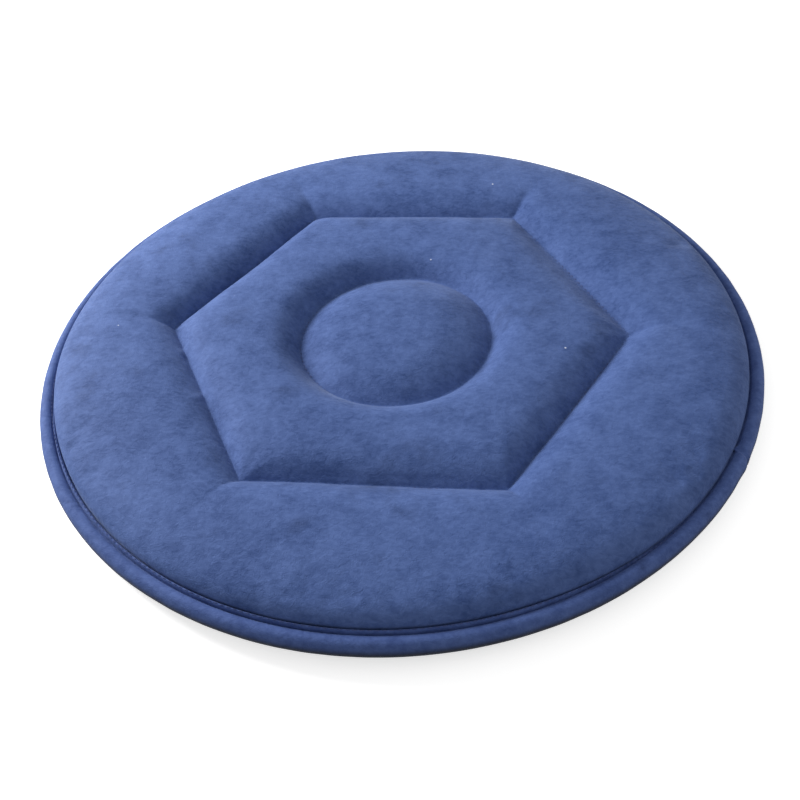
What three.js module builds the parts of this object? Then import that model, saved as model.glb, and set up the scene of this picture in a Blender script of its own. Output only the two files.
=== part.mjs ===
// Swivel seat cushion: a round padded velour disc that turns on a ball race over a fixed base.
// Millimetres, +Z up. The origin is the centre of the base's underside, where the cushion rests.
import * as THREE from "three";

// ---- Driving dimensions ----

const CUSHION_RADIUS = 200; // outermost point of the rolled edge
const SEAM_RADIUS = 192.2; // where the top panel meets the binding
const SEAM_Z = 12;
const CROWN_Z = 24; // highest part of the padded top
const RIM_SHOULDER = 17; // width over which the top falls to the seam

const HEXAGON_RADIUS = 130.5; // centre to corner of the sewn hexagon
const HEXAGON_CHANNEL_Z = 14.5;
const HEXAGON_CHANNEL_WIDTH = 16; // sewn line to the top of its shoulder, on each side
const CIRCLE_RADIUS = 54.4; // the sewn centre circle
const CIRCLE_CHANNEL_Z = 13;
const CIRCLE_CHANNEL_WIDTH = 14;
const DOME_Z = 23; // top of the centre dome
const FIELD_Z = 23; // top of the padding between the hexagon and the circle

const MAT_RADIUS = 152;
const MAT_THICKNESS = 2;
const LOWER_DISC_RADIUS = 150;
const UPPER_DISC_RADIUS = 165;
const DISC_THICKNESS = 2;
const TRACK_RADIUS = 110; // centre of the ball race
const BALL_RADIUS = 2.5;
const BALL_COUNT = 18;
const GAP = 0.3; // clearance between neighbouring pieces

const RIVET_RADIUS = 4;
const RIVET_HEAD_RADIUS = 9;
const RIVET_HEAD_THICKNESS = 0.7;

const COVER_THICKNESS = 0.8;
const WADDING_SHARE = 0.15; // of the padding's local thickness
const FOAM_RADIUS = 186;
const BACKING_THICKNESS = 0.6;
const SKIRT_INNER_RADIUS = 159;
const SKIRT_OUTER_RADIUS = 188.2;
const THREAD = 0.8;

const ROUND_STEPS = 48; // facets round the hidden pieces
const RIM_STEPS = 60; // facets round the rolled edge
const TURN = 2 * Math.PI;

// ---- Heights of the stack, from the base up ----

const LOWER_DISC_Z = MAT_THICKNESS + GAP;
const LOWER_DISC_TOP_Z = LOWER_DISC_Z + DISC_THICKNESS;
const BALL_Z = LOWER_DISC_TOP_Z + 1.3;
const UPPER_DISC_Z = BALL_Z + 1.3;
const UPPER_DISC_TOP_Z = UPPER_DISC_Z + DISC_THICKNESS + 0.1;
const BACKING_Z = UPPER_DISC_TOP_Z + GAP;
const FOAM_Z = BACKING_Z + BACKING_THICKNESS + GAP;
const SKIRT_Z = 5.3;
const SKIRT_THICKNESS = 0.8;

// ---- Materials ----

const velour = new THREE.MeshStandardMaterial({ color: 0x4c5f9e, roughness: 0.95 });
const velourBinding = new THREE.MeshStandardMaterial({ color: 0x3c4f86, roughness: 0.9 });
const thread = new THREE.MeshStandardMaterial({ color: 0x35467a, roughness: 0.7 });
const undersideFabric = new THREE.MeshStandardMaterial({ color: 0x1f2a4a, roughness: 0.9 });
const whiteFelt = new THREE.MeshStandardMaterial({ color: 0xe6e6e2, roughness: 1 });
const foam = new THREE.MeshStandardMaterial({ color: 0xe8dfb8, roughness: 1 });
const plastic = new THREE.MeshStandardMaterial({ color: 0x25272b, roughness: 0.5 });
const nylon = new THREE.MeshStandardMaterial({ color: 0xe9e7dd, roughness: 0.5 });
const steel = new THREE.MeshStandardMaterial({ color: 0xc4c7cb, roughness: 0.3, metalness: 1 });
const rubber = new THREE.MeshStandardMaterial({ color: 0x1b1c1f, roughness: 0.85 });

// ---- Helpers ----

const cushion = new THREE.Group();

function addMesh(name, geometry, material) {
  const mesh = new THREE.Mesh(geometry, material);
  mesh.name = name;
  cushion.add(mesh);
  return mesh;
}

// A closed ring or disc turned about Z from [radius, height] points, listed anticlockwise.
function turned(points, steps = ROUND_STEPS) {
  const profile = points.map(([radius, z]) => new THREE.Vector2(radius, z));
  if (points[0][0] > 0) profile.push(profile[0].clone());
  return new THREE.LatheGeometry(profile, steps).rotateX(Math.PI / 2);
}

function rectangle(innerRadius, outerRadius, bottomZ, topZ) {
  return [
    [innerRadius, bottomZ],
    [outerRadius, bottomZ],
    [outerRadius, topZ],
    [innerRadius, topZ],
  ];
}

// Distance from the centre to the hexagon's side in one direction, with a corner on +X.
function hexagonReach(angle) {
  const sixth = TURN / 6;
  const fromSideMiddle = (((angle % sixth) + sixth) % sixth) - sixth / 2;
  return (HEXAGON_RADIUS * Math.cos(sixth / 2)) / Math.cos(fromSideMiddle);
}

// Height of the padding beside a sewn line: sharp at the line, and level at the channel's width.
function besideChannel(distance, channelZ, channelWidth, topZ) {
  const left = 1 - Math.min(1, distance / channelWidth);
  return topZ - (topZ - channelZ) * left * left;
}

function rimHeight(radius) {
  const run = Math.max(0, (radius - (SEAM_RADIUS - RIM_SHOULDER)) / RIM_SHOULDER);
  return SEAM_Z + (CROWN_Z - SEAM_Z) * Math.sqrt(Math.max(0, 1 - run * run));
}

// The top surface at one angle and radius.
function topHeight(angle, radius) {
  const side = hexagonReach(angle);
  if (radius <= CIRCLE_RADIUS) {
    return besideChannel(CIRCLE_RADIUS - radius, CIRCLE_CHANNEL_Z, CIRCLE_CHANNEL_WIDTH, DOME_Z);
  }
  if (radius <= side) {
    const nearCircle = besideChannel(radius - CIRCLE_RADIUS, CIRCLE_CHANNEL_Z, CIRCLE_CHANNEL_WIDTH, FIELD_Z);
    const nearHexagon = besideChannel(side - radius, HEXAGON_CHANNEL_Z, HEXAGON_CHANNEL_WIDTH, FIELD_Z);
    return Math.min(nearCircle, nearHexagon);
  }
  const outside = besideChannel(radius - side, HEXAGON_CHANNEL_Z, HEXAGON_CHANNEL_WIDTH, CROWN_Z);
  return Math.min(outside, rimHeight(radius));
}

// Radii, at one angle, of the rings of vertices from the centre out: the rings follow the sewn circle and hexagon.
// The foam and the wadding stop at the last ring but one, and the cover goes on down to the seam.
function ringRadii(angle) {
  const side = hexagonReach(angle);
  return [
    CIRCLE_RADIUS - CIRCLE_CHANNEL_WIDTH,
    CIRCLE_RADIUS - CIRCLE_CHANNEL_WIDTH / 3,
    CIRCLE_RADIUS,
    CIRCLE_RADIUS + CIRCLE_CHANNEL_WIDTH,
    side - HEXAGON_CHANNEL_WIDTH,
    side - HEXAGON_CHANNEL_WIDTH / 3,
    side,
    side + HEXAGON_CHANNEL_WIDTH,
    SEAM_RADIUS - RIM_SHOULDER,
    FOAM_RADIUS,
    SEAM_RADIUS - GAP,
  ];
}

// A closed layer of the padding between a lower and an upper surface, each a function of angle and radius.
function paddedLayer(ringsLeftOut, lower, upper) {
  const positions = [];
  const faces = [];
  const rings = ringRadii(0).length - ringsLeftOut;
  const surface = (height) => {
    const first = positions.length / 3;
    positions.push(0, 0, height(0, 0));
    for (let step = 0; step < ROUND_STEPS; step++) {
      const angle = (TURN * step) / ROUND_STEPS;
      for (const radius of ringRadii(angle).slice(0, rings)) {
        positions.push(radius * Math.cos(angle), radius * Math.sin(angle), height(angle, radius));
      }
    }
    return first;
  };
  const vertex = (first, step, ring) => first + 1 + (step % ROUND_STEPS) * rings + ring;
  const bottom = surface(lower);
  const top = surface(upper);
  for (let step = 0; step < ROUND_STEPS; step++) {
    faces.push(top, vertex(top, step, 0), vertex(top, step + 1, 0));
    faces.push(bottom, vertex(bottom, step + 1, 0), vertex(bottom, step, 0));
    for (let ring = 0; ring + 1 < rings; ring++) {
      const [a, b] = [vertex(top, step, ring), vertex(top, step, ring + 1)];
      const [c, d] = [vertex(top, step + 1, ring + 1), vertex(top, step + 1, ring)];
      faces.push(a, b, c, a, c, d);
      const [e, f] = [vertex(bottom, step, ring), vertex(bottom, step, ring + 1)];
      const [g, h] = [vertex(bottom, step + 1, ring + 1), vertex(bottom, step + 1, ring)];
      faces.push(e, g, f, e, h, g);
    }
    const edge = rings - 1;
    const [a, b] = [vertex(bottom, step, edge), vertex(bottom, step + 1, edge)];
    const [c, d] = [vertex(top, step + 1, edge), vertex(top, step, edge)];
    faces.push(a, b, c, a, c, d);
  }
  const geometry = new THREE.BufferGeometry();
  geometry.setAttribute("position", new THREE.Float32BufferAttribute(positions, 3));
  geometry.setIndex(faces);
  return geometry;
}

// A flat thread ring that follows an outline: the outline's shape at two radii, one inside the other.
function threadRing(outline, radius, z) {
  const ring = outline(radius + THREAD / 2);
  ring.holes.push(outline(radius - THREAD / 2));
  const options = { depth: THREAD, bevelEnabled: false, curveSegments: ROUND_STEPS / 2 };
  return new THREE.ExtrudeGeometry(ring, options).translate(0, 0, z);
}

function circleOutline(radius) {
  return new THREE.Shape().absarc(0, 0, radius, 0, TURN, false);
}

function hexagonOutline(radius) {
  const corners = [];
  for (let corner = 0; corner < 6; corner++) {
    const angle = (TURN * corner) / 6;
    corners.push(new THREE.Vector2(radius * Math.cos(angle), radius * Math.sin(angle)));
  }
  return new THREE.Shape(corners);
}

// ---- Base: it stays still ----

function addAntislipBaseMat() {
  addMesh("antislip_base_mat", turned([
    [0, 0],
    [MAT_RADIUS - 0.6, 0],
    [MAT_RADIUS, 0.6],
    [MAT_RADIUS, MAT_THICKNESS],
    [0, MAT_THICKNESS],
  ]), rubber);
}

const RACE_DEPTH = 1.45;
const RACE_BOTTOM_HALF = 2.2;
const RACE_TOP_HALF = 3.3;
const HUB_CLEARANCE = 0.4;

function addLowerDisc() {
  const counterbore = RIVET_HEAD_RADIUS + GAP;
  const webZ = LOWER_DISC_Z + RIVET_HEAD_THICKNESS + 2 * GAP;
  addMesh("lower_turntable_disc", turned([
    [RIVET_RADIUS + HUB_CLEARANCE, webZ],
    [counterbore, webZ],
    [counterbore, LOWER_DISC_Z],
    [LOWER_DISC_RADIUS, LOWER_DISC_Z],
    [LOWER_DISC_RADIUS, LOWER_DISC_TOP_Z],
    [TRACK_RADIUS + RACE_TOP_HALF, LOWER_DISC_TOP_Z],
    [TRACK_RADIUS + RACE_BOTTOM_HALF, LOWER_DISC_TOP_Z - RACE_DEPTH],
    [TRACK_RADIUS - RACE_BOTTOM_HALF, LOWER_DISC_TOP_Z - RACE_DEPTH],
    [TRACK_RADIUS - RACE_TOP_HALF, LOWER_DISC_TOP_Z],
    [RIVET_RADIUS + HUB_CLEARANCE, LOWER_DISC_TOP_Z],
  ]), plastic);
}

function addPivotRivet() {
  const bottom = LOWER_DISC_Z + GAP;
  const top = UPPER_DISC_TOP_Z - 0.1;
  addMesh("pivot_rivet", turned([
    [0, bottom],
    [RIVET_HEAD_RADIUS, bottom],
    [RIVET_HEAD_RADIUS, bottom + RIVET_HEAD_THICKNESS],
    [RIVET_RADIUS, bottom + RIVET_HEAD_THICKNESS],
    [RIVET_RADIUS, top - RIVET_HEAD_THICKNESS],
    [RIVET_HEAD_RADIUS, top - RIVET_HEAD_THICKNESS],
    [RIVET_HEAD_RADIUS, top],
    [0, top],
  ], ROUND_STEPS / 2), steel);
}

function addPivotSpacerWasher() {
  const ring = rectangle(
    RIVET_RADIUS + HUB_CLEARANCE,
    RIVET_HEAD_RADIUS,
    LOWER_DISC_TOP_Z + GAP,
    UPPER_DISC_Z - GAP,
  );
  addMesh("pivot_spacer_washer", turned(ring, ROUND_STEPS / 2), nylon);
}

// ---- Ball race ----

const CAGE_HALF_WIDTH = 6;
const CAGE_THICKNESS = 1.4;
const POCKET_CLEARANCE = 0.35;

function addBallCage() {
  const ring = circleOutline(TRACK_RADIUS + CAGE_HALF_WIDTH);
  ring.holes.push(circleOutline(TRACK_RADIUS - CAGE_HALF_WIDTH));
  for (let ball = 0; ball < BALL_COUNT; ball++) {
    const angle = (TURN * ball) / BALL_COUNT;
    const pocket = [];
    for (let step = 0; step < 12; step++) {
      const turn = (TURN * step) / 12;
      pocket.push(new THREE.Vector2(
        TRACK_RADIUS * Math.cos(angle) + (BALL_RADIUS + POCKET_CLEARANCE) * Math.cos(turn),
        TRACK_RADIUS * Math.sin(angle) + (BALL_RADIUS + POCKET_CLEARANCE) * Math.sin(turn),
      ));
    }
    ring.holes.push(new THREE.Path(pocket));
  }
  const options = { depth: CAGE_THICKNESS, bevelEnabled: false, curveSegments: ROUND_STEPS / 2 };
  const plate = new THREE.ExtrudeGeometry(ring, options);
  addMesh("ball_cage", plate.translate(0, 0, BALL_Z - CAGE_THICKNESS / 2), nylon);
}

function addBearingBalls() {
  for (let ball = 0; ball < BALL_COUNT; ball++) {
    const angle = (TURN * ball) / BALL_COUNT;
    const number = String(ball + 1).padStart(2, "0");
    const mesh = addMesh(`bearing_ball_${number}`, new THREE.IcosahedronGeometry(BALL_RADIUS, 1), steel);
    mesh.position.set(TRACK_RADIUS * Math.cos(angle), TRACK_RADIUS * Math.sin(angle), BALL_Z);
  }
}

// ---- Turntable: the upper disc and all of the padding ----

const LIP_INNER_RADIUS = 152.5;
const LIP_OUTER_RADIUS = 154.5;
const LIP_Z = 5.2;

function addUpperDisc() {
  const counterbore = RIVET_HEAD_RADIUS + GAP;
  const webZ = UPPER_DISC_TOP_Z - 0.1 - RIVET_HEAD_THICKNESS - GAP;
  addMesh("upper_turntable_disc", turned([
    [RIVET_RADIUS + HUB_CLEARANCE, UPPER_DISC_Z],
    [TRACK_RADIUS - RACE_TOP_HALF, UPPER_DISC_Z],
    [TRACK_RADIUS - RACE_BOTTOM_HALF, UPPER_DISC_Z + RACE_DEPTH],
    [TRACK_RADIUS + RACE_BOTTOM_HALF, UPPER_DISC_Z + RACE_DEPTH],
    [TRACK_RADIUS + RACE_TOP_HALF, UPPER_DISC_Z],
    [LIP_INNER_RADIUS, UPPER_DISC_Z],
    [LIP_INNER_RADIUS, LIP_Z],
    [LIP_OUTER_RADIUS, LIP_Z],
    [LIP_OUTER_RADIUS, UPPER_DISC_Z],
    [UPPER_DISC_RADIUS, UPPER_DISC_Z],
    [UPPER_DISC_RADIUS, UPPER_DISC_TOP_Z],
    [counterbore, UPPER_DISC_TOP_Z],
    [counterbore, webZ],
    [RIVET_RADIUS + HUB_CLEARANCE, webZ],
  ]), plastic);
}

function addPadding() {
  const thickness = (angle, radius) => topHeight(angle, radius) - COVER_THICKNESS - GAP - FOAM_Z;
  const foamTop = (angle, radius) => FOAM_Z + thickness(angle, radius) * (1 - WADDING_SHARE) - GAP;
  const waddingTop = (angle, radius) => FOAM_Z + thickness(angle, radius);
  const waddingBottom = (angle, radius) => foamTop(angle, radius) + GAP;
  const coverBottom = (angle, radius) => topHeight(angle, radius) - COVER_THICKNESS;
  const backing = rectangle(0, FOAM_RADIUS + 2, BACKING_Z, BACKING_Z + BACKING_THICKNESS);
  addMesh("pad_backing", turned(backing), whiteFelt);
  addMesh("foam_pad", paddedLayer(1, () => FOAM_Z, foamTop), foam);
  addMesh("wadding_layer", paddedLayer(1, waddingBottom, waddingTop), whiteFelt);
  addMesh("cover_top_panel", paddedLayer(0, coverBottom, topHeight), velour);
}

// Outer skin of the rolled edge from the seam groove, over and round to the underside, then back inside.
function addEdgeBinding() {
  addMesh("edge_binding", turned([
    [188.7, 5.9],
    [188.6, 4.9],
    [194.2, 4.3],
    [197.3, 5.3],
    [199.3, 7.5],
    [CUSHION_RADIUS, 10],
    [199.6, 12.3],
    [198.3, 14.1],
    [196.3, 14.8],
    [194.2, 13.9],
    [SEAM_RADIUS + GAP, SEAM_Z],
    [193.4, 11.4],
    [194.9, 12.9],
    [196.6, 13.6],
    [198.5, 11.8],
    [198.8, 10],
    [198.1, 8.1],
    [196.6, 6.5],
    [194.2, 5.5],
  ], RIM_STEPS), velourBinding);
}

const FILLER_CORD_RADIUS = 2.4;

function addEdgeFillerCord() {
  const cord = new THREE.TorusGeometry(195.4, FILLER_CORD_RADIUS, 6, RIM_STEPS);
  addMesh("edge_filler_cord", cord.translate(0, 0, 9.3), whiteFelt);
}

function addUndersideSkirt() {
  const skirt = rectangle(SKIRT_INNER_RADIUS, SKIRT_OUTER_RADIUS, SKIRT_Z, SKIRT_Z + SKIRT_THICKNESS);
  addMesh("cover_underside_skirt", turned(skirt), undersideFabric);
  const elastic = rectangle(SKIRT_INNER_RADIUS - 2.5, SKIRT_INNER_RADIUS - GAP, SKIRT_Z - GAP, SKIRT_Z + 1.2);
  addMesh("hem_elastic", turned(elastic), rubber);
}

// ---- Sewing thread ----

const STITCH_LIFT = 0.9; // keeps the thread clear of the channel's sides
const TOPSTITCH_RADIUS = 190;

function addStitching() {
  const hexagonZ = HEXAGON_CHANNEL_Z + STITCH_LIFT;
  const circleZ = CIRCLE_CHANNEL_Z + STITCH_LIFT;
  addMesh("hexagon_stitching", threadRing(hexagonOutline, HEXAGON_RADIUS, hexagonZ), thread);
  addMesh("circle_stitching", threadRing(circleOutline, CIRCLE_RADIUS, circleZ), thread);
  const rim = threadRing(circleOutline, TOPSTITCH_RADIUS, rimHeight(TOPSTITCH_RADIUS) + STITCH_LIFT);
  addMesh("rim_topstitching", rim, thread);
}

addAntislipBaseMat();
addLowerDisc();
addPivotRivet();
addPivotSpacerWasher();
addBallCage();
addBearingBalls();
addUpperDisc();
addPadding();
addEdgeBinding();
addEdgeFillerCord();
addUndersideSkirt();
addStitching();

export default cushion;
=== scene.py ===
"""Swivel seat cushion in blue velour: the padded top, its rolled edge, the turntable inside and the base mat.

The frame holds the sizes, and every shape here is worked out from it. Lengths are in millimetres until a
mesh is made, and angles are in radians. +X runs through one corner of the sewn hexagon.
"""
import math

import bpy
from mathutils import Matrix, Vector, noise


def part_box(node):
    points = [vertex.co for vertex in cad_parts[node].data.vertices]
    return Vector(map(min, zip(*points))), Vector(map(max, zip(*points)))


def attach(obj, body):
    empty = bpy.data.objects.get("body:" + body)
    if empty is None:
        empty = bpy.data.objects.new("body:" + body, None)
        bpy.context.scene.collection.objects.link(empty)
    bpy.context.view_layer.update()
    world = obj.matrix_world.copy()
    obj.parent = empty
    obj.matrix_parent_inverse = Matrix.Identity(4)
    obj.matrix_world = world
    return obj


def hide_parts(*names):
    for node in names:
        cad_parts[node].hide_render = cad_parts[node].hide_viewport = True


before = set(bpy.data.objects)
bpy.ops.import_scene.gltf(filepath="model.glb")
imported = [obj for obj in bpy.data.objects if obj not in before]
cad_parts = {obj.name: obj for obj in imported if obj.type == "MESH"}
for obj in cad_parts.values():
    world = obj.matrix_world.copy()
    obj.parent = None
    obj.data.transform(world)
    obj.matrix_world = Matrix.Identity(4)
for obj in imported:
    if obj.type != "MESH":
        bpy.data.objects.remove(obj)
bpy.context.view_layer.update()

MM = 0.001
TURN = 2 * math.pi


# ---- Sizes, from the frame ----

def low_mm(node):
    return [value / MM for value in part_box(node)[0]]


def high_mm(node):
    return [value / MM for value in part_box(node)[1]]


THREAD_HALF = 0.4  # half the thread's width in the frame
THREAD_LIFT = 0.9  # how far the frame holds the thread above its sewn line
COVER_THICKNESS = 0.8
RIM_RADIUS = high_mm("edge_binding")[0]
RIM_TOP_Z = high_mm("edge_binding")[2]
RIM_BOTTOM_Z = low_mm("edge_binding")[2]
SEAM_RADIUS = high_mm("cover_top_panel")[0] + 0.3
SEAM_Z = low_mm("cover_underside_skirt")[2] + 6.7
CROWN_Z = high_mm("cover_top_panel")[2]
HEXAGON_RADIUS = high_mm("hexagon_stitching")[0] - THREAD_HALF
HEXAGON_Z = low_mm("hexagon_stitching")[2] - THREAD_LIFT
CIRCLE_RADIUS = high_mm("circle_stitching")[0] - THREAD_HALF
CIRCLE_Z = low_mm("circle_stitching")[2] - THREAD_LIFT - 1
BEAD_WIDTH = 1.7  # the fold of binding that shows between the top panel and the roll
PANEL_EDGE_Z = SEAM_Z + 3
FOAM_Z = low_mm("foam_pad")[2]


# ---- Camera ----

def add_camera():
    """The view is from the front and above, a little to the right, close enough to show perspective."""
    azimuth, elevation = math.radians(9.3), math.radians(41.76)
    aim_down, aim_left, roll = math.radians(3.33), math.radians(0.1), math.radians(-5.23)
    distance, target_z = 521 * MM, 2 * MM
    data = bpy.data.cameras.new("camera")
    data.sensor_width = 36
    data.lens = 40.4
    camera = bpy.data.objects.new("camera", data)
    bpy.context.scene.collection.objects.link(camera)
    turn = (
        Matrix.Rotation(azimuth, 4, "Z")
        @ Matrix.Rotation(math.pi / 2 - elevation, 4, "X")
        @ Matrix.Rotation(-aim_down, 4, "X")
        @ Matrix.Rotation(aim_left, 4, "Y")
        @ Matrix.Rotation(roll, 4, "Z")
    )
    back = Vector((
        math.sin(azimuth) * math.cos(elevation),
        -math.cos(azimuth) * math.cos(elevation),
        math.sin(elevation),
    ))
    camera.matrix_world = Matrix.Translation(back * distance + Vector((0, 0, target_z))) @ turn
    bpy.context.scene.camera = camera


# ---- Mesh helpers ----

def new_piece(name, vertices, faces, material, body, replaced=()):
    """A mesh object from points in millimetres, riding on a body."""
    mesh = bpy.data.meshes.new(name)
    mesh.from_pydata([[value * MM for value in point] for point in vertices], [], faces)
    mesh.validate()
    mesh.materials.append(material)
    mesh.shade_smooth()
    piece = bpy.data.objects.new(name, mesh)
    bpy.context.scene.collection.objects.link(piece)
    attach(piece, body)
    if replaced:
        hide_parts(*replaced)
    return piece


def ring_faces(steps, rings, closed):
    """Quads between neighbouring rings of vertices, each ring with the same number of steps."""
    faces = []
    last = rings if closed else rings - 1
    for ring in range(last):
        above = (ring + 1) % rings
        for step in range(steps):
            after = (step + 1) % steps
            faces.append((
                ring * steps + step,
                ring * steps + after,
                above * steps + after,
                above * steps + step,
            ))
    return faces


def smooth_path(points, pieces):
    """A Catmull-Rom curve through the points, with the same number of pieces between each two."""
    ends = [points[0], *points, points[-1]]
    path = []
    for index in range(1, len(ends) - 2):
        a, b, c, d = (Vector(ends[index + offset]) for offset in (-1, 0, 1, 2))
        for piece in range(pieces):
            t = piece / pieces
            path.append(0.5 * (
                2 * b
                + (c - a) * t
                + (2 * a - 5 * b + 4 * c - d) * t * t
                + (3 * b - a - 3 * c + d) * t * t * t
            ))
    path.append(Vector(points[-1]))
    return path


def wave(angle, count, seed):
    """Seeded noise round the rim that joins up with itself: about count swells in a turn."""
    spread = count / TURN
    return noise.noise(Vector((math.cos(angle) * spread, math.sin(angle) * spread, seed)))


# ---- The padded top ----

HEXAGON_WIDTH = 23  # sewn line to the top of its shoulder, on each side
CIRCLE_WIDTH = 21
DOME_WIDTH = 44  # the dome inside the circle is rounder than the field outside it
# The hexagon's sides, from the one beside +X round: how far each is pulled down beyond the frame's line, and
# over how many millimetres the bottom of its channel is rounded.
SIDE_DEPTH = (-1.3, 0, 1.6, 0.4, -0.2, 0.4)
SIDE_SOFTNESS = (5.0, 1.2, 0.5, 0.8, 0.6, 0.5)
CIRCLE_SOFTNESS = 1.0
CHANNEL_POWER = 2.7  # how sharply a channel's side steepens towards its sewn line
FIELD_Z = CROWN_Z - 0.6
RIM_SHOULDER = 17  # width over which the top panel turns down to its edge
CIRCLE_OFF_CENTRE = 2.8  # the sewn circle sits a little towards the front
FRONT = math.radians(-81)


def hexagon_corner(number):
    """A sewn corner's (x, y); corner 0 is the one on +X."""
    angle = TURN * (number % 6) / 6
    return HEXAGON_RADIUS * math.cos(angle), HEXAGON_RADIUS * math.sin(angle)


def hexagon_reach(angle):
    """Distance from the centre to the sewn hexagon along a direction."""
    number = int((angle / TURN * 6) % 6)
    for side in (number - 1, number, number + 1):
        (x, y), (next_x, next_y) = hexagon_corner(side), hexagon_corner(side + 1)
        across = math.cos(angle) * (next_y - y) - math.sin(angle) * (next_x - x)
        reach = (x * next_y - y * next_x) / across
        share = ((reach * math.cos(angle) - x) * (next_x - x) + (reach * math.sin(angle) - y) * (next_y - y))
        share /= (next_x - x) ** 2 + (next_y - y) ** 2
        if -1e-6 <= share <= 1 + 1e-6 and reach > 0:
            return reach
    return HEXAGON_RADIUS


CORNER_SPREAD = math.radians(8)  # the hexagon's corners are evened out over this angle to each side
SPREAD_OVER = 18  # and fully so this far inside the sewn line


def softened_reach(angle, away):
    """The hexagon's reach with its corners rounded off, the more so the further from the sewn line."""
    spread = CORNER_SPREAD * min(1, away / SPREAD_OVER)
    shares = (-1, -0.5, 0, 0.5, 1)
    return sum(hexagon_reach(angle + spread * share) for share in shares) / len(shares)


def circle_reach(angle):
    """Distance from the centre to the sewn circle along a direction."""
    return CIRCLE_RADIUS + CIRCLE_OFF_CENTRE * math.cos(angle - FRONT)


def sink(distance, width, soft):
    """How far the padding is pulled down beside a sewn line: 1 at the line and 0 at the channel's width.

    A soft line is rounded at the bottom over that many millimetres.
    """
    away = math.hypot(distance, soft) - soft
    return (1 - min(1, away / width)) ** CHANNEL_POWER


def by_side(values, angle):
    """A value given for the middle of each of the hexagon's six sides, carried smoothly round."""
    place = (angle / TURN * 6 - 0.5) % 6
    side = int(place)
    share = (1 - math.cos(math.pi * (place - side))) / 2
    return values[side] * (1 - share) + values[(side + 1) % 6] * share


BEAD_MIDDLE = math.radians(-106)
BEAD_REACH = math.radians(54)  # the bead shows this far to each side of its middle
BEAD_FADE = math.radians(16)
LOW_EDGE_MIDDLE = math.radians(-12)  # where the panel's edge is drawn down level with the roll
LOW_EDGE_REACH = math.radians(48)
LOW_EDGE_DROP = 1.7


def bead_share(angle):
    """1 where the bead shows, along the front and the left, and 0 where the panel meets the roll directly."""
    away = abs((angle - BEAD_MIDDLE + math.pi) % TURN - math.pi)
    share = min(1, max(0, (BEAD_REACH + BEAD_FADE - away) / (2 * BEAD_FADE)))
    return share * share * (3 - 2 * share)


def panel_edge(angle):
    """Radius of the top panel's edge: further in where the bead shows."""
    return SEAM_RADIUS - 0.4 - BEAD_WIDTH * bead_share(angle)


def panel_edge_z(angle):
    """Height of the panel's edge: on the right it is drawn down level with the roll."""
    away = abs((angle - LOW_EDGE_MIDDLE + math.pi) % TURN - math.pi)
    share = min(1, max(0, 1.5 - away / LOW_EDGE_REACH))
    return PANEL_EDGE_Z - LOW_EDGE_DROP * share * share * (3 - 2 * share)


def hexagon_z(angle):
    """Height of the sewn hexagon: some of its sides are pulled down more than others."""
    return HEXAGON_Z - by_side(SIDE_DEPTH, angle)


def rim_height(angle, radius):
    """Height of the outer ring, which turns down to the panel's edge in a quarter ellipse."""
    run = max(0, (radius - (panel_edge(angle) - RIM_SHOULDER)) / RIM_SHOULDER)
    low = panel_edge_z(angle)
    return low + (CROWN_Z - low) * math.sqrt(max(0, 1 - run * run))


TUCK = 0.01  # how far beyond the panel's edge the last ring lies
TUCK_STEEPNESS = 300  # millimetres down for each millimetre out


def top_height(angle, radius):
    """Height of the cover as it is sewn, before it swells."""
    if radius > panel_edge(angle):
        return panel_edge_z(angle) - TUCK_STEEPNESS * (radius - panel_edge(angle))
    side = hexagon_reach(angle)
    from_circle = radius - circle_reach(angle)
    width = CIRCLE_WIDTH if from_circle > 0 else DOME_WIDTH
    in_circle = (FIELD_Z - CIRCLE_Z) * sink(from_circle, width, CIRCLE_SOFTNESS)
    line = softened_reach(angle, side - radius) if radius < side else side
    in_hexagon = sink(radius - line, HEXAGON_WIDTH, by_side(SIDE_SOFTNESS, angle))
    if radius <= side:
        return FIELD_Z - in_circle - (FIELD_Z - hexagon_z(angle)) * in_hexagon
    return rim_height(angle, radius) - (CROWN_Z - hexagon_z(angle)) * in_hexagon


def eased(count, start, end):
    """Radii from start to end, closer together towards both ends."""
    return [start + (end - start) * (1 - math.cos(math.pi * i / count)) / 2 for i in range(count)]


# Rings of points across the centre dome, the field, the outer ring, the turned-down edge and the tuck under
# the bead.
RING_COUNTS = (10, 22, 20, 10, 1)
SEWN_BOUNDARIES = (1, 2, 4, 5)  # after the dome, after the field, and both sides of the tuck
CENTRE_RADIUS = 14  # inside it the rings give way to a closed centre


def ring_radii(angle, fineness):
    """The radii of the rings at one angle: they follow the sewn circle, the sewn hexagon and the edge."""
    edge = panel_edge(angle)
    shoulder = edge - RIM_SHOULDER * 0.7
    tuck = edge + TUCK
    edges = (CENTRE_RADIUS, circle_reach(angle), hexagon_reach(angle), shoulder, edge, tuck)
    radii = []
    for count, start, end in zip(RING_COUNTS, edges, edges[1:]):
        radii += eased(count * fineness, start, end)
    return radii + [tuck]


def close_centre(points, faces, steps, height):
    """Fills the hole inside the first ring, halving the number of points from ring to ring."""
    outer = list(range(steps))
    radius = CENTRE_RADIUS
    while len(outer) % 2 == 0 and len(outer) > 16:
        radius *= 0.72
        half = len(outer) // 2
        first = len(points)
        for step in range(half):
            angle = TURN * step / half
            points.append((radius * math.cos(angle), radius * math.sin(angle), height(angle, radius)))
        inner = list(range(first, first + half))
        for step in range(half):
            a, b, c = (outer[(2 * step + offset) % len(outer)] for offset in range(3))
            d, e = inner[step], inner[(step + 1) % half]
            faces += [(a, b, d), (b, e, d), (b, c, e)]
        outer = inner
    points.append((0, 0, height(0, 0)))
    centre = len(points) - 1
    faces += [(here, outer[(i + 1) % len(outer)], centre) for i, here in enumerate(outer)]


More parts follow.
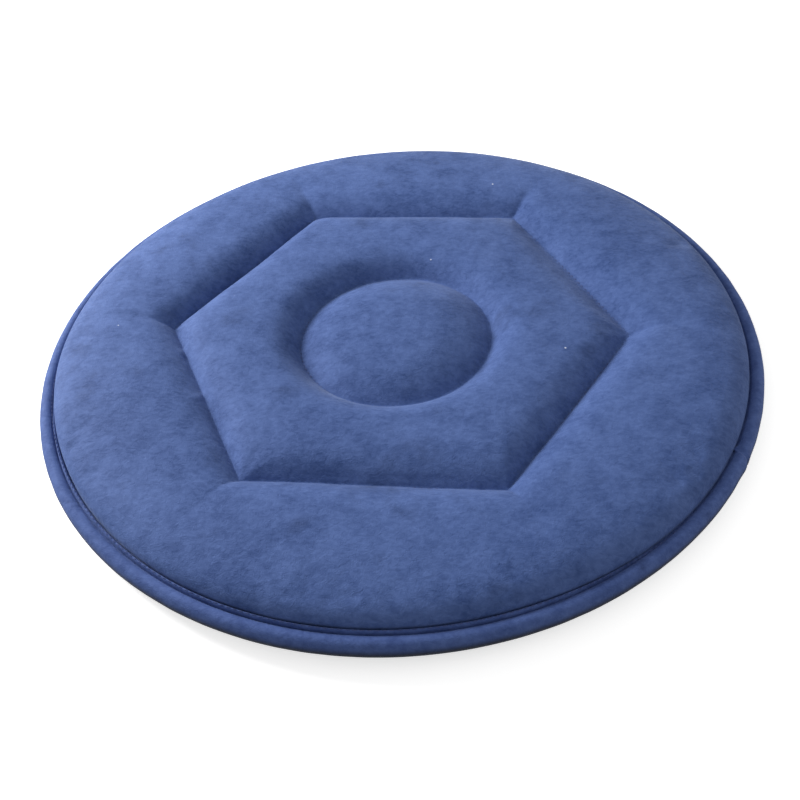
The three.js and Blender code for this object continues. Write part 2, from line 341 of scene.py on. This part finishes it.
def grid_surface(height, steps, fineness, last_ring=None):
    """Points and faces of an open round surface, facing up, on rings that follow the sewn lines."""
    radii = [ring_radii(TURN * step / steps, fineness)[:last_ring] for step in range(steps)]
    rings = len(radii[0])
    points = []
    for ring in range(rings):
        for step in range(steps):
            angle = TURN * step / steps
            radius = radii[step][ring]
            points.append((radius * math.cos(angle), radius * math.sin(angle), height(angle, radius)))
    faces = [tuple(reversed(face)) for face in ring_faces(steps, rings, closed=False)]
    close_centre(points, faces, steps, height)
    return points, faces


COARSE_STEPS = 240
FINE_STEPS = 960
BILLOW_FRAMES = 14
BILLOW_LIMIT = 2.5  # no point of the cover moves further than this


def billow():
    """Cloth simulation of the cover, which swells between its sewn lines: each point's move, ring by ring."""
    points, faces = grid_surface(top_height, COARSE_STEPS, 1)
    mesh = bpy.data.meshes.new("billow")
    mesh.from_pydata([[value * MM for value in point] for point in points], [], faces)
    cover = bpy.data.objects.new("billow", mesh)
    bpy.context.scene.collection.objects.link(cover)
    sewn = cover.vertex_groups.new(name="sewn")
    for boundary in SEWN_BOUNDARIES:
        ring = sum(RING_COUNTS[:boundary])
        sewn.add(range(ring * COARSE_STEPS, (ring + 1) * COARSE_STEPS), 1.0, "REPLACE")
    cloth = cover.modifiers.new("cloth", "CLOTH")
    settings = cloth.settings
    settings.quality = 6
    settings.mass = 0.3
    settings.tension_stiffness = 20
    settings.compression_stiffness = 20
    settings.shear_stiffness = 8
    settings.bending_stiffness = 2
    settings.use_pressure = True
    settings.uniform_pressure_force = 2.5
    settings.vertex_group_mass = sewn.name
    settings.effector_weights.gravity = 0
    cloth.point_cache.frame_start = 1
    cloth.point_cache.frame_end = BILLOW_FRAMES
    for number in range(1, BILLOW_FRAMES + 1):
        bpy.context.scene.frame_set(number)
    swollen = cover.evaluated_get(bpy.context.evaluated_depsgraph_get()).to_mesh()
    moves = []
    for point, vertex in zip(points, swollen.vertices):
        move = vertex.co / MM - Vector(point)
        moves.append(move * min(1, BILLOW_LIMIT / max(move.length, 1e-6)))
    bpy.data.objects.remove(cover)
    bpy.context.scene.frame_set(1)
    return moves


def add_moves(points, moves):
    """Adds the coarse grid's moves to the fine grid's points, evenly between the coarse points."""
    across = FINE_STEPS // COARSE_STEPS
    rings = sum(RING_COUNTS)
    for index in range((2 * rings + 1) * FINE_STEPS):
        ring, step = divmod(index, FINE_STEPS)
        low, high = ring // 2, (ring + 1) // 2
        near, share = divmod(step, across)
        share /= across
        after = (near + 1) % COARSE_STEPS
        move = Vector((0, 0, 0))
        for row in (low, high):
            move += moves[row * COARSE_STEPS + near].lerp(moves[row * COARSE_STEPS + after], share) / 2
        points[index] = tuple(Vector(points[index]) + move)
    for index in range((2 * rings + 1) * FINE_STEPS, len(points)):
        x, y, z = points[index]
        share = math.hypot(x, y) ** 2 / CENTRE_RADIUS ** 2
        rim = moves[round(math.atan2(y, x) / TURN * COARSE_STEPS) % COARSE_STEPS]
        points[index] = (x, y, z + moves[-1].lerp(rim, share).z)


# Marks in the cover: (azimuth and direction in degrees, radius, length, width, depth), raised where depth is
# below 0. Their places are chosen one by one.
MARKS = (
    (-110, 65, 10, 20, 1.2, 0.4),  # short wrinkles in front of the circle
    (-65, 80, 10, 20, 1.2, 0.4),
    (-90, 110, 0, 80, 1.2, 0.4),  # a pulled line inside the front side of the hexagon
    (-90, 180, 0, 3, 2.5, 0.7),  # dents beside the rolled edge
    (-70, 185, 20, 3, 2.5, 0.6),
    (-170, 120, -100, 5, 2.5, -0.7),  # bumps along the hexagon's left side
    (-150, 115, -100, 5, 2.5, -0.7),
)
CREASE_RUN = 14  # how far beyond a sewn corner its channel runs on into the outer ring
CREASED_CORNERS = (0, 1, 2, 3)


def lie_of_padding(point):
    """Slow unevenness of the padding under the cover, in millimetres."""
    broad = noise.noise(point / 70) * 0.9
    fine = noise.noise(point / 22 + Vector((9, 4, 2))) * 0.35
    return broad + fine


def mark_lines():
    """Each mark and corner crease as its middle, its direction, half its length, its width and its depth."""
    lines = []
    creases = [
        (60 * number, HEXAGON_RADIUS + CREASE_RUN, 60 * number, 14, 4, 0.7) for number in CREASED_CORNERS
    ]
    for azimuth, radius, direction, length, width, depth in (*MARKS, *creases):
        azimuth, direction = math.radians(azimuth), math.radians(direction)
        middle = Vector((math.cos(azimuth), math.sin(azimuth))) * radius
        lines.append((middle, Vector((math.cos(direction), math.sin(direction))), length / 2, width, depth))
    return lines


def marked(lines, x, y):
    """How far the marks lower the cover at a point."""
    total = 0
    for middle, direction, half, width, depth in lines:
        away = Vector((x, y)) - middle
        if away.length < half + 3 * width:
            along = max(0, abs(away.dot(direction)) - half)
            across = away.cross(direction)
            total += depth * math.exp(-(along * along + across * across) / (width * width))
    return total


def add_top_panel(material):
    points, faces = grid_surface(top_height, FINE_STEPS, 2)
    add_moves(points, billow())
    lines = mark_lines()
    for index, (x, y, z) in enumerate(points):
        fade = min(1, max(0, (SEAM_RADIUS - math.hypot(x, y)) / 12))
        points[index] = (x, y, z + lie_of_padding(Vector((x, y, 0))) * fade - marked(lines, x, y))
    piece = new_piece("velour_top", points, faces, material, "turntable", ["cover_top_panel"])
    return piece


# ---- Under the cover ----

LAYER_STEPS = 240
WADDING_SHARE = 0.15  # of the padding's local thickness
LAYER_GAP = 0.2
COVER_SLACK = 1.6  # room for the cover to lie lower than drawn


def padding_depth(angle, radius):
    """Thickness of the foam and the wadding together, under the cover."""
    return top_height(angle, radius) - COVER_THICKNESS - COVER_SLACK - FOAM_Z


def foam_top(angle, radius):
    return FOAM_Z + padding_depth(angle, radius) * (1 - WADDING_SHARE) - LAYER_GAP


def wadding_bottom(angle, radius):
    return foam_top(angle, radius) + LAYER_GAP


def wadding_top(angle, radius):
    return FOAM_Z + padding_depth(angle, radius)


def foam_bottom(angle, radius):
    """Flat all over, so the same for every angle and radius."""
    return FOAM_Z


def add_layer(name, node, bottom, top, material):
    """A closed layer of the pad, out to where the cover turns down over its edge."""
    last_ring = sum(RING_COUNTS[:3]) - 2
    upper, upper_faces = grid_surface(top, LAYER_STEPS, 1, last_ring)
    lower, lower_faces = grid_surface(bottom, LAYER_STEPS, 1, last_ring)
    shift = len(upper)
    faces = upper_faces + [tuple(shift + index for index in reversed(face)) for face in lower_faces]
    edge = (last_ring - 1) * LAYER_STEPS
    for step in range(LAYER_STEPS):
        after = (step + 1) % LAYER_STEPS
        faces.append((edge + step, shift + edge + step, shift + edge + after, edge + after))
    return new_piece(name, upper + lower, faces, material, "turntable", [node])


# ---- The rolled edge ----

ROLL_WIDTH = 4.2  # half-width of the roll
ROLL_CENTRE_Z = (RIM_TOP_Z + RIM_BOTTOM_Z) / 2
ROLL_HEIGHT = ROLL_CENTRE_Z - RIM_BOTTOM_Z


def binding_profile(bead):
    """The binding's outside: the bead, the groove, then over the roll and round to the underside.

    Each point is (radius, z). With bead at 0 the groove starts at the top panel's edge.
    """
    edge = SEAM_RADIUS - 0.4 - BEAD_WIDTH * bead
    hidden = 2.2 * (1 - bead)
    points = [
        (edge - 0.3, PANEL_EDGE_Z - 2.4 - hidden),
        (edge + 0.3 * bead, PANEL_EDGE_Z - 2 - hidden),
        (edge + 0.7 * bead, PANEL_EDGE_Z - 0.5 - hidden),
        (edge + 1.3 * bead, PANEL_EDGE_Z - hidden),
        (edge + 1.9 * bead, PANEL_EDGE_Z - 0.7 - hidden),
        (SEAM_RADIUS + 0.3, PANEL_EDGE_Z - 2.6),
    ]
    for turn in range(130, -91, -20):
        turn = math.radians(turn)
        across = ROLL_WIDTH * math.cos(turn)
        points.append((RIM_RADIUS - ROLL_WIDTH + across, ROLL_CENTRE_Z + ROLL_HEIGHT * math.sin(turn)))
    points += [(RIM_RADIUS - 8, RIM_BOTTOM_Z + 0.3), (RIM_RADIUS - 12.5, RIM_BOTTOM_Z + 1.2)]
    return smooth_path([(*point, 0) for point in points], 4)


BINDING_STEPS = 1440
JOIN_ANGLE = math.radians(-25)


def join_of_binding(angle, along):
    """Where the binding's ends overlap: a step beside the fold, and a tuck across the roll's inner half."""
    beside = ((angle - JOIN_ANGLE + math.pi) % TURN - math.pi) * RIM_RADIUS
    overlap = 0.45 * math.exp(-(((beside + 6) / 5) ** 2))
    inner = math.exp(-(((along - 0.36) / 0.13) ** 2))
    slanted = beside + 14 * (along - 0.36)
    tuck = math.exp(-((slanted / 1.5) ** 2))
    swell = math.sin(math.pi * max(0, along - 0.28) / 0.72)
    return (overlap - 0.5 * tuck) * swell - 2.4 * inner * tuck


def add_edge_binding(material):
    plain, beaded = binding_profile(0), binding_profile(1)
    points = []
    for place, (without, with_bead) in enumerate(zip(plain, beaded)):
        along = place / (len(plain) - 1)
        swell = math.sin(math.pi * max(0, along - 0.28) / 0.72)
        for step in range(BINDING_STEPS):
            angle = TURN * step / BINDING_STEPS
            corner = without.lerp(with_bead, bead_share(angle))
            gather = wave(angle, 130, along * 2) * 0.12 + wave(angle, 24, 5) * 0.14
            lift = gather * swell + join_of_binding(angle, along)
            radius = corner.x + lift
            z = corner.y + lift * 0.5
            points.append((radius * math.cos(angle), radius * math.sin(angle), z))
    faces = ring_faces(BINDING_STEPS, len(plain), closed=False)
    faces = [tuple(reversed(face)) for face in faces]
    return new_piece(
        "rolled_binding", points, faces, material, "turntable", ["edge_binding"]
    )


CORD_SIDES = 18
CORD_STEPS = 720
CORD_STRANDS = 3
CORD_TWISTS = 40  # each strand's rounds for every radian round the rim


def add_filler_cord(material):
    """The soft cord in the roll: three strands laid round each other, as one fluted rope."""
    low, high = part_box("edge_filler_cord")
    radius = (high.z - low.z) / MM / 2
    centre_radius, centre_z = high.x / MM - radius, (high.z + low.z) / MM / 2

    def lay(angle, turn):
        strand = radius * (1 - 0.1 * (1 + math.cos(CORD_STRANDS * (turn + CORD_TWISTS * angle))))
        return centre_radius + strand * math.cos(turn), centre_z + strand * math.sin(turn)

    turns = [TURN * side / CORD_SIDES for side in range(CORD_SIDES)]
    add_turned("filler_cord", "edge_filler_cord", material, turns, CORD_STEPS, lay)


def add_turned(name, node, material, profile, steps, place, body="turntable"):
    """A closed ring: place(angle, corner) gives the radius and height of a profile corner at an angle."""
    points = []
    for corner in profile:
        for step in range(steps):
            angle = TURN * step / steps
            radius, z = place(angle, corner)
            points.append((radius * math.cos(angle), radius * math.sin(angle), z))
    faces = [tuple(reversed(face)) for face in ring_faces(steps, len(profile), closed=True)]
    return new_piece(name, points, faces, material, body, [node])


# ---- The underside ----

def add_backing(material):
    """The felt under the foam, as wide as the foam."""
    low, high = low_mm("pad_backing")[2], high_mm("pad_backing")[2]
    radius, middle = high_mm("pad_backing")[0] - 3, (low + high) / 2
    profile = [
        (0.6, low + 0.3), (1.2, low), (2.4, low), (90, low), (radius - 0.5, low), (radius, middle),
        (radius - 0.5, high), (90, high), (2.4, high), (1.2, high), (0.6, high - 0.3),
    ]
    return add_turned(
        "backing_felt", "pad_backing", material, profile, 360, lambda angle, corner: corner
    )


def add_hem_elastic(material):
    """The elastic in the hem of the underside: a flat ribbed band that draws the cloth in."""
    low, high = low_mm("hem_elastic")[2], high_mm("hem_elastic")[2]
    outer = high_mm("hem_elastic")[0]
    inner = outer - 2.2
    profile = [
        (inner, low + 0.35), (inner + 0.35, low), (outer - 0.35, low), (outer, low + 0.35),
        (outer, high - 0.35), (outer - 0.35, high), (inner + 0.35, high), (inner, high - 0.35),
    ]

    def lay(angle, corner):
        draw = wave(angle, GATHERS, 3) * 0.18
        return corner[0] + draw, corner[1] + wave(angle, GATHERS, 7) * 0.1

    return add_turned("gathered_elastic", "hem_elastic", material, profile, 1080, lay)


GATHERS = 108  # folds drawn up by the hem elastic
SKIRT_RINGS = 14
SKIRT_SAG = 0.5


def add_skirt(material, elastic):
    """The cloth under the rim, sewn in with the binding and drawn in by the hem elastic."""
    low, high = low_mm("cover_underside_skirt"), high_mm("cover_underside_skirt")
    inner, outer = high_mm("hem_elastic")[0] + 0.2, high[0] - 1
    middle = (low[2] + high[2]) / 2
    steps = GATHERS * 10
    points = []
    for ring in range(SKIRT_RINGS + 1):
        share = ring / SKIRT_RINGS
        for step in range(steps):
            angle = TURN * step / steps
            reach = inner + (outer - inner) * share
            drawn = (1 - share) ** 1.6
            z = middle + wave(angle, GATHERS, 3 + share * 0.6) * (0.62 * drawn + 0.1)
            z -= SKIRT_SAG * math.sin(math.pi * share)
            points.append((reach * math.cos(angle), reach * math.sin(angle), z))
    faces = ring_faces(steps, SKIRT_RINGS + 1, closed=False)
    skirt = new_piece(
        "gathered_skirt", points, faces, material, "turntable", ["cover_underside_skirt"]
    )


STUD_PITCH = 11
STUD_RADIUS = 2.4
STUD_SIDES = 10


def add_stud(points, faces, x, y, top):
    """A low round grip stud under the mat, its tip on the ground."""
    first = len(points)
    for radius, z in ((STUD_RADIUS, top), (STUD_RADIUS * 0.8, top * 0.35), (STUD_RADIUS * 0.45, 0.06)):
        for side in range(STUD_SIDES):
            turn = TURN * side / STUD_SIDES
            points.append((x + radius * math.cos(turn), y + radius * math.sin(turn), z))
    points.append((x, y, 0))
    tip = len(points) - 1
    for ring in range(2):
        for side in range(STUD_SIDES):
            a, b = first + ring * STUD_SIDES + side, first + ring * STUD_SIDES + (side + 1) % STUD_SIDES
            faces.append((a, a + STUD_SIDES, b + STUD_SIDES, b))
    last = first + 2 * STUD_SIDES
    faces += [(last + (side + 1) % STUD_SIDES, last + side, tip) for side in range(STUD_SIDES)]


def add_base_mat(material):
    """The rubber mat that stays still on the seat: a thin sheet with round grip studs under it."""
    radius, top = high_mm("antislip_base_mat")[0], high_mm("antislip_base_mat")[2]
    under = 0.8
    profile = [
        (0.5, under + 0.3), (1, under), (2, under), (75, under), (radius - 0.6, under), (radius, under + 0.5),
        (radius, top - 0.5), (radius - 0.5, top), (75, top), (2, top), (1, top), (0.5, top - 0.3),
    ]
    mat = add_turned(
        "grip_mat", "antislip_base_mat", material, profile, 240,
        lambda angle, corner: corner, body="base",
    )
    points, faces = [], []
    rings = int((radius - 6) // STUD_PITCH)
    for ring in range(1, rings + 1):
        count = round(TURN * ring)
        for number in range(count):
            angle = TURN * (number + 0.5 * (ring % 2)) / count
            place = ring * STUD_PITCH
            add_stud(points, faces, place * math.cos(angle), place * math.sin(angle), under + 0.1)
    studs = new_piece("grip_studs", points, faces, material, "base")
    return mat, studs


def dress_frame_nodes():
    """Gives the hard pieces that show their frame shapes their own materials."""
    plastic = plain_material("turntable_plastic", (0.30, 0.31, 0.33), (0.36, 0.37, 0.39), 700, 0.0001,
                             Roughness=0.42)
    nylon = plain_material("cage_nylon", (0.72, 0.70, 0.64), (0.80, 0.78, 0.72), 500, 0.0001, Roughness=0.5)
    zinc = plain_material("zinc_plated_steel", (0.52, 0.53, 0.55), (0.66, 0.66, 0.67), 900, 0.00005,
                          Roughness=0.34, Metallic=1.0)
    bright = plain_material("ball_steel", (0.66, 0.67, 0.68), (0.76, 0.76, 0.77), 1500, 0.00002,
                            Roughness=0.16, Metallic=1.0)
    for name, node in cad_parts.items():
        finish = None
        if "disc" in name or "washer" in name:
            finish = plastic
        elif "cage" in name:
            finish = nylon
        elif "rivet" in name:
            finish = zinc
        elif "ball" in name:
            finish = bright
        if finish:
            for material_slot in node.material_slots:
                material_slot.material = finish


# ---- Sewing thread ----

def add_stitches(name, node, place, length, pitch, radius, material):
    """A row of separate stitches along a closed line; place gives the line's point at a distance along it."""
    count = round(length / pitch)
    sides, rings = 6, 5
    points, faces = [], []
    for stitch in range(count):
        first = len(points)
        for ring in range(rings):
            share = ring / (rings - 1)
            at = (stitch + 0.12 + 0.76 * share) * length / count
            here, ahead = place(at), place(at + 0.2)
            along = (ahead - here).normalized()
            side = along.cross(Vector((0, 0, 1))).normalized()
            over = side.cross(along)
            thick = radius * (0.35 + 0.65 * math.sin(math.pi * share))
            lift = radius * 0.8 * math.sin(math.pi * share)
            for corner in range(sides):
                turn = TURN * corner / sides
                offset = side * math.cos(turn) + over * math.sin(turn)
                points.append(here + offset * thick + Vector((0, 0, lift)))
        for ring in range(rings - 1):
            for corner in range(sides):
                after = (corner + 1) % sides
                base = first + ring * sides
                faces.append((base + corner, base + after, base + sides + after, base + sides + corner))
        faces.append(tuple(first + corner for corner in reversed(range(sides))))
        faces.append(tuple(first + (rings - 1) * sides + corner for corner in range(sides)))
    return new_piece(name, points, faces, material, "turntable", [node])


SUNK_THREAD = 0.6  # the thread lies this deep in its sewn line


def on_hexagon(distance):
    share, number = math.modf(distance / HEXAGON_RADIUS)
    start, end = hexagon_corner(int(number)), hexagon_corner(int(number) + 1)
    x, y = Vector(start).lerp(Vector(end), share)
    return Vector((x, y, hexagon_z(math.atan2(y, x)) - SUNK_THREAD))


def on_circle(distance):
    angle = distance / CIRCLE_RADIUS
    reach = circle_reach(angle)
    return Vector((reach * math.cos(angle), reach * math.sin(angle), CIRCLE_Z - SUNK_THREAD))


def on_bead(distance):
    angle = distance / SEAM_RADIUS
    reach = panel_edge(angle) + 1.4
    z = PANEL_EDGE_Z - 0.05 - 1.8 * (1 - bead_share(angle))
    return Vector((reach * math.cos(angle), reach * math.sin(angle), z))


def add_stitching(material):
    hexagon, circle, rim = 6 * HEXAGON_RADIUS, TURN * CIRCLE_RADIUS, TURN * SEAM_RADIUS
    add_stitches("hexagon_stitches", "hexagon_stitching", on_hexagon, hexagon, 3.6, 0.28, material)
    add_stitches("circle_stitches", "circle_stitching", on_circle, circle, 3.4, 0.28, material)
    add_stitches("rim_stitches", "rim_topstitching", on_bead, rim, 3.2, 0.22, material)


# ---- Materials ----

def new_material(name, **values):
    """A Principled material with its constant values set on the shader, and short ways to its nodes."""
    material = bpy.data.materials.new(name)
    material.use_nodes = True
    shader = material.node_tree.nodes["Principled BSDF"]
    for socket, value in values.items():
        shader.inputs[socket.replace("_", " ")].default_value = value
    return material, material.node_tree, shader


def object_place(tree, scale=(1, 1, 1), turn=0):
    place = tree.nodes.new("ShaderNodeTexCoord")
    mapping = tree.nodes.new("ShaderNodeMapping")
    mapping.inputs["Scale"].default_value = scale
    mapping.inputs["Rotation"].default_value = (0, 0, turn)
    tree.links.new(place.outputs["Object"], mapping.inputs["Vector"])
    return mapping.outputs["Vector"]


def noise_of(tree, vector, scale, detail=4, roughness=0.5, distortion=0):
    texture = tree.nodes.new("ShaderNodeTexNoise")
    texture.inputs["Scale"].default_value = scale
    texture.inputs["Detail"].default_value = detail
    texture.inputs["Roughness"].default_value = roughness
    texture.inputs["Distortion"].default_value = distortion
    tree.links.new(vector, texture.inputs["Vector"])
    return texture.outputs["Fac"]


def ramp(tree, value, stops):
    node = tree.nodes.new("ShaderNodeValToRGB")
    elements = node.color_ramp.elements
    while len(elements) < len(stops):
        elements.new(0.5)
    for element, (position, color) in zip(elements, stops):
        element.position = position
        element.color = (*color, 1)
    tree.links.new(value, node.inputs["Fac"])
    return node.outputs["Color"]


def mix(tree, first, second, share, blend="MIX"):
    node = tree.nodes.new("ShaderNodeMix")
    node.data_type = "RGBA"
    node.blend_type = blend
    node.inputs["Factor"].default_value = share
    tree.links.new(first, node.inputs["A"])
    tree.links.new(second, node.inputs["B"])
    return node.outputs["Result"]


def bump(tree, shader, height, distance, strength=1.0, under=None):
    node = tree.nodes.new("ShaderNodeBump")
    node.inputs["Strength"].default_value = strength
    node.inputs["Distance"].default_value = distance
    tree.links.new(height, node.inputs["Height"])
    if under is not None:
        tree.links.new(under, node.inputs["Normal"])
    tree.links.new(node.outputs["Normal"], shader.inputs["Normal"])
    return node.outputs["Normal"]


def velour_material(name, dark, light, mottle_scale, sheen, painted_shade_color=None):
    """Short velour: cloudy where the pile lies over, finely brushed, with a pale sheen at grazing angles.

    Given a shade colour, the cloth darkens to it towards the underside of the rolled edge: painted shade,
    standing in for the light that does not reach under the roll.
    """
    material, tree, shader = new_material(
        name, Roughness=0.75, Specular_IOR_Level=0.18, Sheen_Weight=sheen, Sheen_Roughness=0.42,
        Sheen_Tint=(0.6, 0.72, 1.0, 1),
    )
    place = object_place(tree)
    brushed = object_place(tree, (0.65, 1, 1), math.radians(-9.3))
    clouds = ramp(tree, noise_of(tree, place, mottle_scale, 4, 0.6), [(0.38, dark), (0.6, light)])
    smudges = ramp(tree, noise_of(tree, place, mottle_scale * 4, 4, 0.6), [(0.35, dark), (0.6, light)])
    strokes = ramp(tree, noise_of(tree, brushed, 460, 3, 0.6, 0.6), [(0.36, dark), (0.64, light)])
    color = mix(tree, mix(tree, clouds, smudges, 0.45), strokes, 0.4)
    rubbed = map_range(tree, noise_of(tree, place, mottle_scale * 1.3, 6, 0.6), 0.56, 0.84)
    color = mix_by(tree, rubbed, color, tuple(0.7 * low for low in dark))
    color = mix_by(tree, lint(tree, place), color, (0.6, 0.64, 0.75))
    # Painted shade: the rolled edge's underside is darkened towards near black in its colour.
    if painted_shade_color:
        color = mix_by(tree, painted_shade_below(tree, place), color, painted_shade_color)
    tree.links.new(color, shader.inputs["Base Color"])
    pile = noise_of(tree, place, 1500, 3)
    waves = noise_of(tree, brushed, 260, 4, 0.6, 1.0)
    under = bump(tree, shader, waves, 0.0006, 0.7)
    bump(tree, shader, pile, 0.0003, 0.7, under)
    return material


def lint(tree, place):
    """A few specks of pale lint: 1 on a speck."""
    cells = tree.nodes.new("ShaderNodeTexVoronoi")
    cells.inputs["Scale"].default_value = 24
    tree.links.new(place, cells.inputs["Vector"])
    return map_range(tree, cells.outputs["Distance"], 0.016, 0.009)


def painted_shade_below(tree, place):
    """Mask of the painted shade: 1 on the underside of the rolled edge, 0 on its top."""
    split = tree.nodes.new("ShaderNodeSeparateXYZ")
    tree.links.new(place, split.inputs[0])
    return map_range(tree, split.outputs["Z"], (ROLL_CENTRE_Z + 3.4) * MM, (ROLL_CENTRE_Z - 0.6) * MM)


def map_range(tree, value, start, end):
    """0 where value is at start, and 1 at end."""
    node = tree.nodes.new("ShaderNodeMapRange")
    node.interpolation_type = "SMOOTHSTEP"
    node.inputs["From Min"].default_value = start
    node.inputs["From Max"].default_value = end
    tree.links.new(value, node.inputs["Value"])
    return node.outputs["Result"]


def mix_by(tree, share, color, other):
    """The color, giving way to a constant other color where share is 1."""
    node = tree.nodes.new("ShaderNodeMix")
    node.data_type = "RGBA"
    node.inputs["B"].default_value = (*other, 1)
    tree.links.new(share, node.inputs["Factor"])
    tree.links.new(color, node.inputs["A"])
    return node.outputs["Result"]


def plain_material(name, dark, light, scale, depth, **values):
    """A material of two near colours in a fine noise, with a bump of the same grain."""
    material, tree, shader = new_material(name, **values)
    grain = noise_of(tree, object_place(tree), scale, 5)
    tree.links.new(ramp(tree, grain, [(0.35, dark), (0.65, light)]), shader.inputs["Base Color"])
    bump(tree, shader, grain, depth, 0.6)
    return material


# ---- Stage ----

def add_floor():
    size = 40
    corners = [(-size, -size, 0), (size, -size, 0), (size, size, 0), (-size, size, 0)]
    mesh = bpy.data.meshes.new("floor")
    mesh.from_pydata(corners, [], [(0, 1, 2, 3)])
    white = new_material(
        "floor_white", Base_Color=(0.9, 0.9, 0.9, 1), Roughness=0.9,
        Emission_Color=(1, 1, 1, 1), Emission_Strength=0.6,
    )[0]
    mesh.materials.append(white)
    floor = bpy.data.objects.new("floor", mesh)
    bpy.context.scene.collection.objects.link(floor)
    floor.visible_diffuse = False


def add_area_light(name, azimuth, elevation, distance, size, power):
    data = bpy.data.lights.new(name, "AREA")
    data.shape = "DISK"
    data.size = size
    data.energy = power
    light = bpy.data.objects.new(name, data)
    azimuth, elevation = math.radians(azimuth), math.radians(elevation)
    place = Vector((
        math.cos(azimuth) * math.cos(elevation),
        math.sin(azimuth) * math.cos(elevation),
        math.sin(elevation),
    )) * distance
    light.location = place
    light.rotation_euler = place.to_track_quat("Z", "Y").to_euler()
    bpy.context.scene.collection.objects.link(light)


def add_sky():
    """Even white light from above and from all sides, and none from below the table."""
    world = bpy.data.worlds.new("studio")
    world.use_nodes = True
    tree = world.node_tree
    place = tree.nodes.new("ShaderNodeTexCoord")
    split = tree.nodes.new("ShaderNodeSeparateXYZ")
    tree.links.new(place.outputs["Generated"], split.inputs[0])
    height = tree.nodes.new("ShaderNodeMapRange")
    height.inputs["From Min"].default_value = -0.3
    height.inputs["From Max"].default_value = 0.0
    height.inputs["To Max"].default_value = 0.49
    tree.links.new(split.outputs["Z"], height.inputs["Value"])
    tree.links.new(height.outputs["Result"], tree.nodes["Background"].inputs["Strength"])
    tree.nodes["Background"].inputs["Color"].default_value = (1, 1, 1, 1)
    bpy.context.scene.world = world


def add_lights():
    add_area_light("key_light", 157, 28, 1.0, 0.45, 14)
    add_area_light("fill_light", 5, 16, 1.0, 0.6, 1.1)
    add_sky()
    bpy.context.scene.view_settings.view_transform = "Standard"
    bpy.context.scene.view_settings.look = "None"


# ---- Assembly ----

add_camera()
velour = velour_material("velour", (0.029, 0.062, 0.195), (0.083, 0.140, 0.350), 22, 0.2)
# Near-black painted shade for the underside of the rolled edge, where little light reaches under the roll.
painted_roll_shade = (0.006, 0.009, 0.022)
# This copy of the velour is lighter in its dark tones than the top's: painted light for the roll's sides that
# face away from the key light.
velour_rolled = velour_material(
    "rolled_velour", (0.040, 0.074, 0.228), (0.082, 0.135, 0.347), 60, 0.12, painted_roll_shade
)
thread = plain_material(
    "sewing_thread", (0.03, 0.05, 0.16), (0.06, 0.09, 0.25), 900, 0.0002, Roughness=0.7
)
add_top_panel(velour)
foam = plain_material("pad_foam", (0.78, 0.70, 0.45), (0.86, 0.80, 0.58), 900, 0.0006, Roughness=1.0)
wadding = plain_material("wadding", (0.82, 0.82, 0.80), (0.93, 0.93, 0.92), 500, 0.0005, Roughness=1.0)
add_layer("foam_disc", "foam_pad", foam_bottom, foam_top, foam)
add_layer("wadding", "wadding_layer", wadding_bottom, wadding_top, wadding)
add_edge_binding(velour_rolled)
cotton = plain_material("filler_cotton", (0.62, 0.58, 0.48), (0.78, 0.75, 0.66), 1200, 0.0003, Roughness=1.0)
add_filler_cord(cotton)
felt = plain_material("grey_felt", (0.16, 0.16, 0.17), (0.26, 0.26, 0.27), 800, 0.0004, Roughness=1.0)
backing = add_backing(felt)
band = plain_material("woven_elastic", (0.62, 0.62, 0.63), (0.78, 0.78, 0.79), 1400, 0.0002, Roughness=0.85)
lining = plain_material("underside_cloth", (0.020, 0.026, 0.055), (0.050, 0.060, 0.110), 1500, 0.0003,
                        Roughness=0.95)
add_skirt(lining, add_hem_elastic(band))
rubber = plain_material(
    "grip_rubber", (0.020, 0.020, 0.022), (0.045, 0.045, 0.048), 600, 0.0002, Roughness=0.75
)
add_base_mat(rubber)
dress_frame_nodes()
add_stitching(thread)
add_floor()
add_lights()
